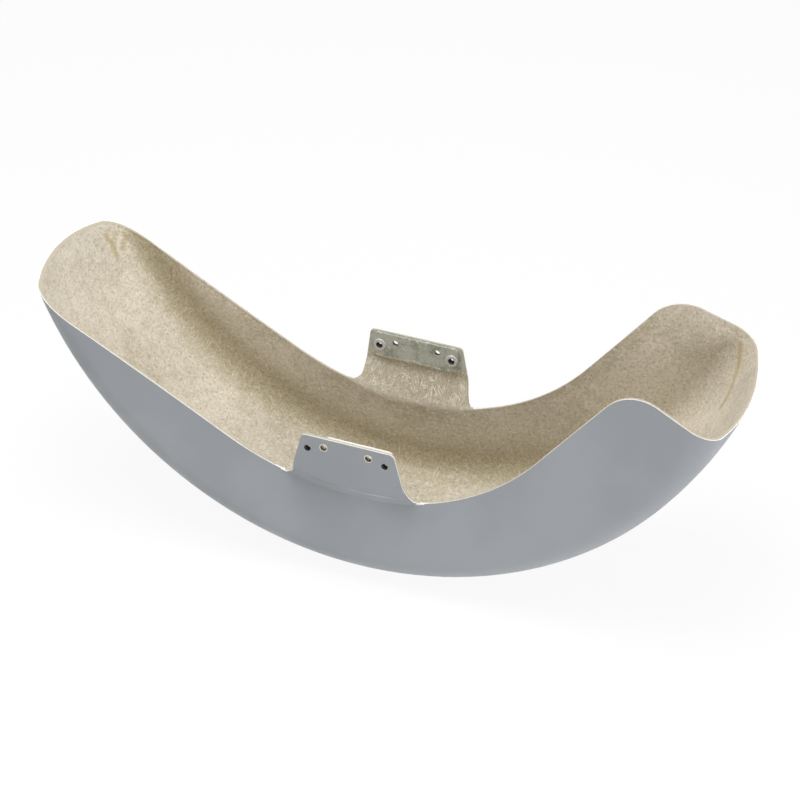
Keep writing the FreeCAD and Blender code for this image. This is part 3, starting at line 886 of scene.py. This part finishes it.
for name, form in (("tabMatLeft", tabMat["left"]), ("tabMatRight", tabMat["right"])):
    piece = finishPiece(name, buildTabMat(form), [laminateMaterial])
    thicken(piece, tabMat["thickness"])
print("tab mats laid")


# raised gelcoat line along the crease where a tab leaves the skirt, in a lighter gelcoat that is a
# painted highlight
crease = {"overEdge": 8.6 * mm, "from": -57 * mm, "to": 48 * mm, "along": 90, "across": 10,
          "half": 2.0 * mm, "lift": 0.5 * mm, "sink": 0.3 * mm, "thickness": 0.4 * mm,
          "endSteep": 8, "seeFrom": 200 * mm}


def buildCrease(side):
    bm = newGrid(crease["along"], crease["across"])
    lost = []
    for vert in bm.verts:
        x = crease["from"] + (crease["to"] - crease["from"]) * (vert.co.x + 1) / 2
        z = edgeHeight(x) + crease["overEdge"] + vert.co.y * crease["half"]
        start = Vector((x, side * crease["seeFrom"], z))
        hit = shellTree.ray_cast(start, Vector((0, -side, 0)))[0]
        if hit is None:
            lost.append(vert)
            continue
        ends = ease((1 - abs(vert.co.x)) * crease["endSteep"])
        swell = math.cos(vert.co.y * math.pi / 2) ** 2 * ends
        rise = crease["lift"] * swell - crease["sink"] * (1 - swell)
        vert.co = Vector((x, hit.y + side * rise, z))
    bmesh.ops.delete(bm, geom=lost, context="VERTS")
    bm.normal_update()
    bm.faces.ensure_lookup_table()
    turnFaces(bm, bm.faces[0], Vector((0, side, 0)))
    return bm


for name, side in (("creaseLeft", 1), ("creaseRight", -1)):
    piece = finishPiece(name, buildCrease(side), [highlightGelcoatMaterial])
    thicken(piece, crease["thickness"])
print("creases raised")


# pale resin run along the near strip's top
topRun = {"from": -21 * mm, "to": 43 * mm, "along": 70, "across": 8, "middle": 95.6 * mm,
          "half": 1.5 * mm, "base": 13.0 * mm, "height": 2.0 * mm, "wave": 0.35 * mm,
          "waveScale": 160, "endSteep": 10, "thickness": 0.5 * mm}


def buildTopRun():
    bm = newGrid(topRun["along"], topRun["across"])
    for vert in bm.verts:
        ends = ease((1 - abs(vert.co.x)) * topRun["endSteep"])
        along = topRun["from"] + (topRun["to"] - topRun["from"]) * (vert.co.x + 1) / 2
        wave = topRun["wave"] * noise.noise(Vector((along * topRun["waveScale"], 0, 0)))
        height = (topRun["height"] + wave) * ends
        spot = tabSpot(along, topRun["base"] + height * math.cos(vert.co.y * math.pi / 2))
        vert.co = Vector((spot.x, -topRun["middle"] + vert.co.y * topRun["half"], spot.z))
    bm.normal_update()
    bm.faces.ensure_lookup_table()
    turnFaces(bm, bm.faces[len(bm.faces) // 2], Vector((0, 0, 1)))
    return bm


resinRun = finishPiece("resinRun", buildTopRun(), [edgeMaterial])
thicken(resinRun, topRun["thickness"])
print("resin run laid")


# threaded inserts: turned flange, tapped bore, and the sleeve that shows in the tab's outer hole
threaded = {
    "seat": 96.7 * mm, "flange": 6.25 * mm, "flangeTop": 4.0 * mm, "chamfer": 0.4 * mm,
    "body": 4.5 * mm, "strip": 2.5 * mm, "sleeve": 3.28 * mm, "sleeveEnd": -2.8 * mm,
    "minor": 2.5 * mm, "major": 2.95 * mm, "pitch": 1.0 * mm, "threadEnd": 0.2 * mm,
    "darkInside": 3.2 * mm, "steps": 40, "weld": 0.001 * mm,
}


def insertProfile():
    t = threaded
    shoulder = t["flangeTop"] - t["chamfer"]
    outline = [(t["sleeve"], t["sleeveEnd"]), (t["sleeve"], 0.0), (t["body"], 0.0),
               (t["body"], t["strip"]), (t["flange"], t["strip"]), (t["flange"], shoulder),
               (t["flange"] - t["chamfer"], t["flangeTop"]),
               (t["major"] + t["chamfer"], t["flangeTop"])]
    depth = shoulder
    crest = False
    while depth > t["sleeveEnd"] + t["threadEnd"]:
        outline.append((t["minor"] if crest else t["major"], depth))
        depth -= t["pitch"] / 2
        crest = not crest
    outline.append((t["major"], t["sleeveEnd"]))
    return outline


def buildInserts():
    bm = bmesh.new()
    for name, side in (("left_insert_pair", 1), ("right_insert_pair", -1)):
        for hole in pairOf(name):
            verts = []
            for radius, depth in insertProfile():
                y = side * (threaded["seat"] - depth)
                verts.append(bm.verts.new((hole.x + radius, y, hole.z)))
            edges = [bm.edges.new((verts[index - 1], verts[index])) for index in range(len(verts))]
            bmesh.ops.spin(bm, geom=verts + edges, cent=(hole.x, 0, hole.z), axis=(0, 1, 0),
                           angle=2 * math.pi, steps=threaded["steps"], use_merge=True)
    bmesh.ops.remove_doubles(bm, verts=bm.verts[:], dist=threaded["weld"])
    bmesh.ops.recalc_face_normals(bm, faces=bm.faces[:])
    holes = pairOf("left_insert_pair")
    for face in bm.faces:
        dark = awayFrom(face.calc_center_median(), holes) < threaded["darkInside"]
        face.material_index = 1 if dark else 0
        face.smooth = True
    sharpen(bm, shell["smooth"])
    return bm


insertFinishes = [insertMaterial, threadMaterial]
tappedInserts = finishPiece("tappedInserts", buildInserts(), insertFinishes)
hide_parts("threaded_inserts")
print("inserts turned")


# floor, lamps and world
studio = {
    "floorHalf": 6.0, "floorColour": (0.94, 0.94, 0.94, 1), "floorWhite": 0.92, "worldLevel": 0.38,
    "lamps": (
        {"name": "key", "place": (-0.05, -0.35, 2.10), "width": 1.1, "power": 35.0},
        {"name": "rim", "place": (1.5, -0.75, 0.35), "width": 0.7, "power": 9.0},
        {"name": "fill", "place": (-1.4, -1.4, 1.7), "width": 1.8, "power": 2.5},
    ),
}


def addFloor():
    bm = newGrid(1, 1, studio["floorHalf"])
    mesh = bpy.data.meshes.new("floor")
    bm.to_mesh(mesh)
    bm.free()
    floor = bpy.data.objects.new("floor", mesh)
    scene.collection.objects.link(floor)
    material, tree, shader = newFinish("floorPaint")
    tree.nodes.remove(shader)
    matt = put(tree, "BsdfDiffuse", {"Color": studio["floorColour"]})
    white = put(tree, "Emission", {"Strength": 1.0})
    path = put(tree, "LightPath").outputs
    seen = largest(tree, path["Is Camera Ray"],
                   largest(tree, path["Is Glossy Ray"], path["Is Transmission Ray"]))
    mixed = put(tree, "MixShader", {"Fac": times(tree, seen, studio["floorWhite"])})
    tree.links.new(matt.outputs[0], mixed.inputs[1])
    tree.links.new(white.outputs[0], mixed.inputs[2])
    tree.links.new(mixed.outputs[0], tree.nodes["Material Output"].inputs["Surface"])
    mesh.materials.append(material)


def addLamps():
    for lamp in studio["lamps"]:
        light = bpy.data.lights.new(lamp["name"], "AREA")
        light.size = lamp["width"]
        light.energy = lamp["power"]
        holder = bpy.data.objects.new(lamp["name"], light)
        holder.location = lamp["place"]
        holder.rotation_mode = "QUATERNION"
        holder.rotation_quaternion = (view["target"] - holder.location).to_track_quat("-Z", "Y")
        scene.collection.objects.link(holder)
    world = bpy.data.worlds.new("studio")
    scene.world = world
    world.use_nodes = True
    tree = world.node_tree
    background = tree.nodes["Background"]
    seen = put(tree, "LightPath").outputs["Is Camera Ray"]
    feed(tree, background.inputs["Color"], (1, 1, 1, 1))
    feed(tree, background.inputs["Strength"], largest(tree, seen, studio["worldLevel"]))


addFloor()
addLamps()
print("studio lit")
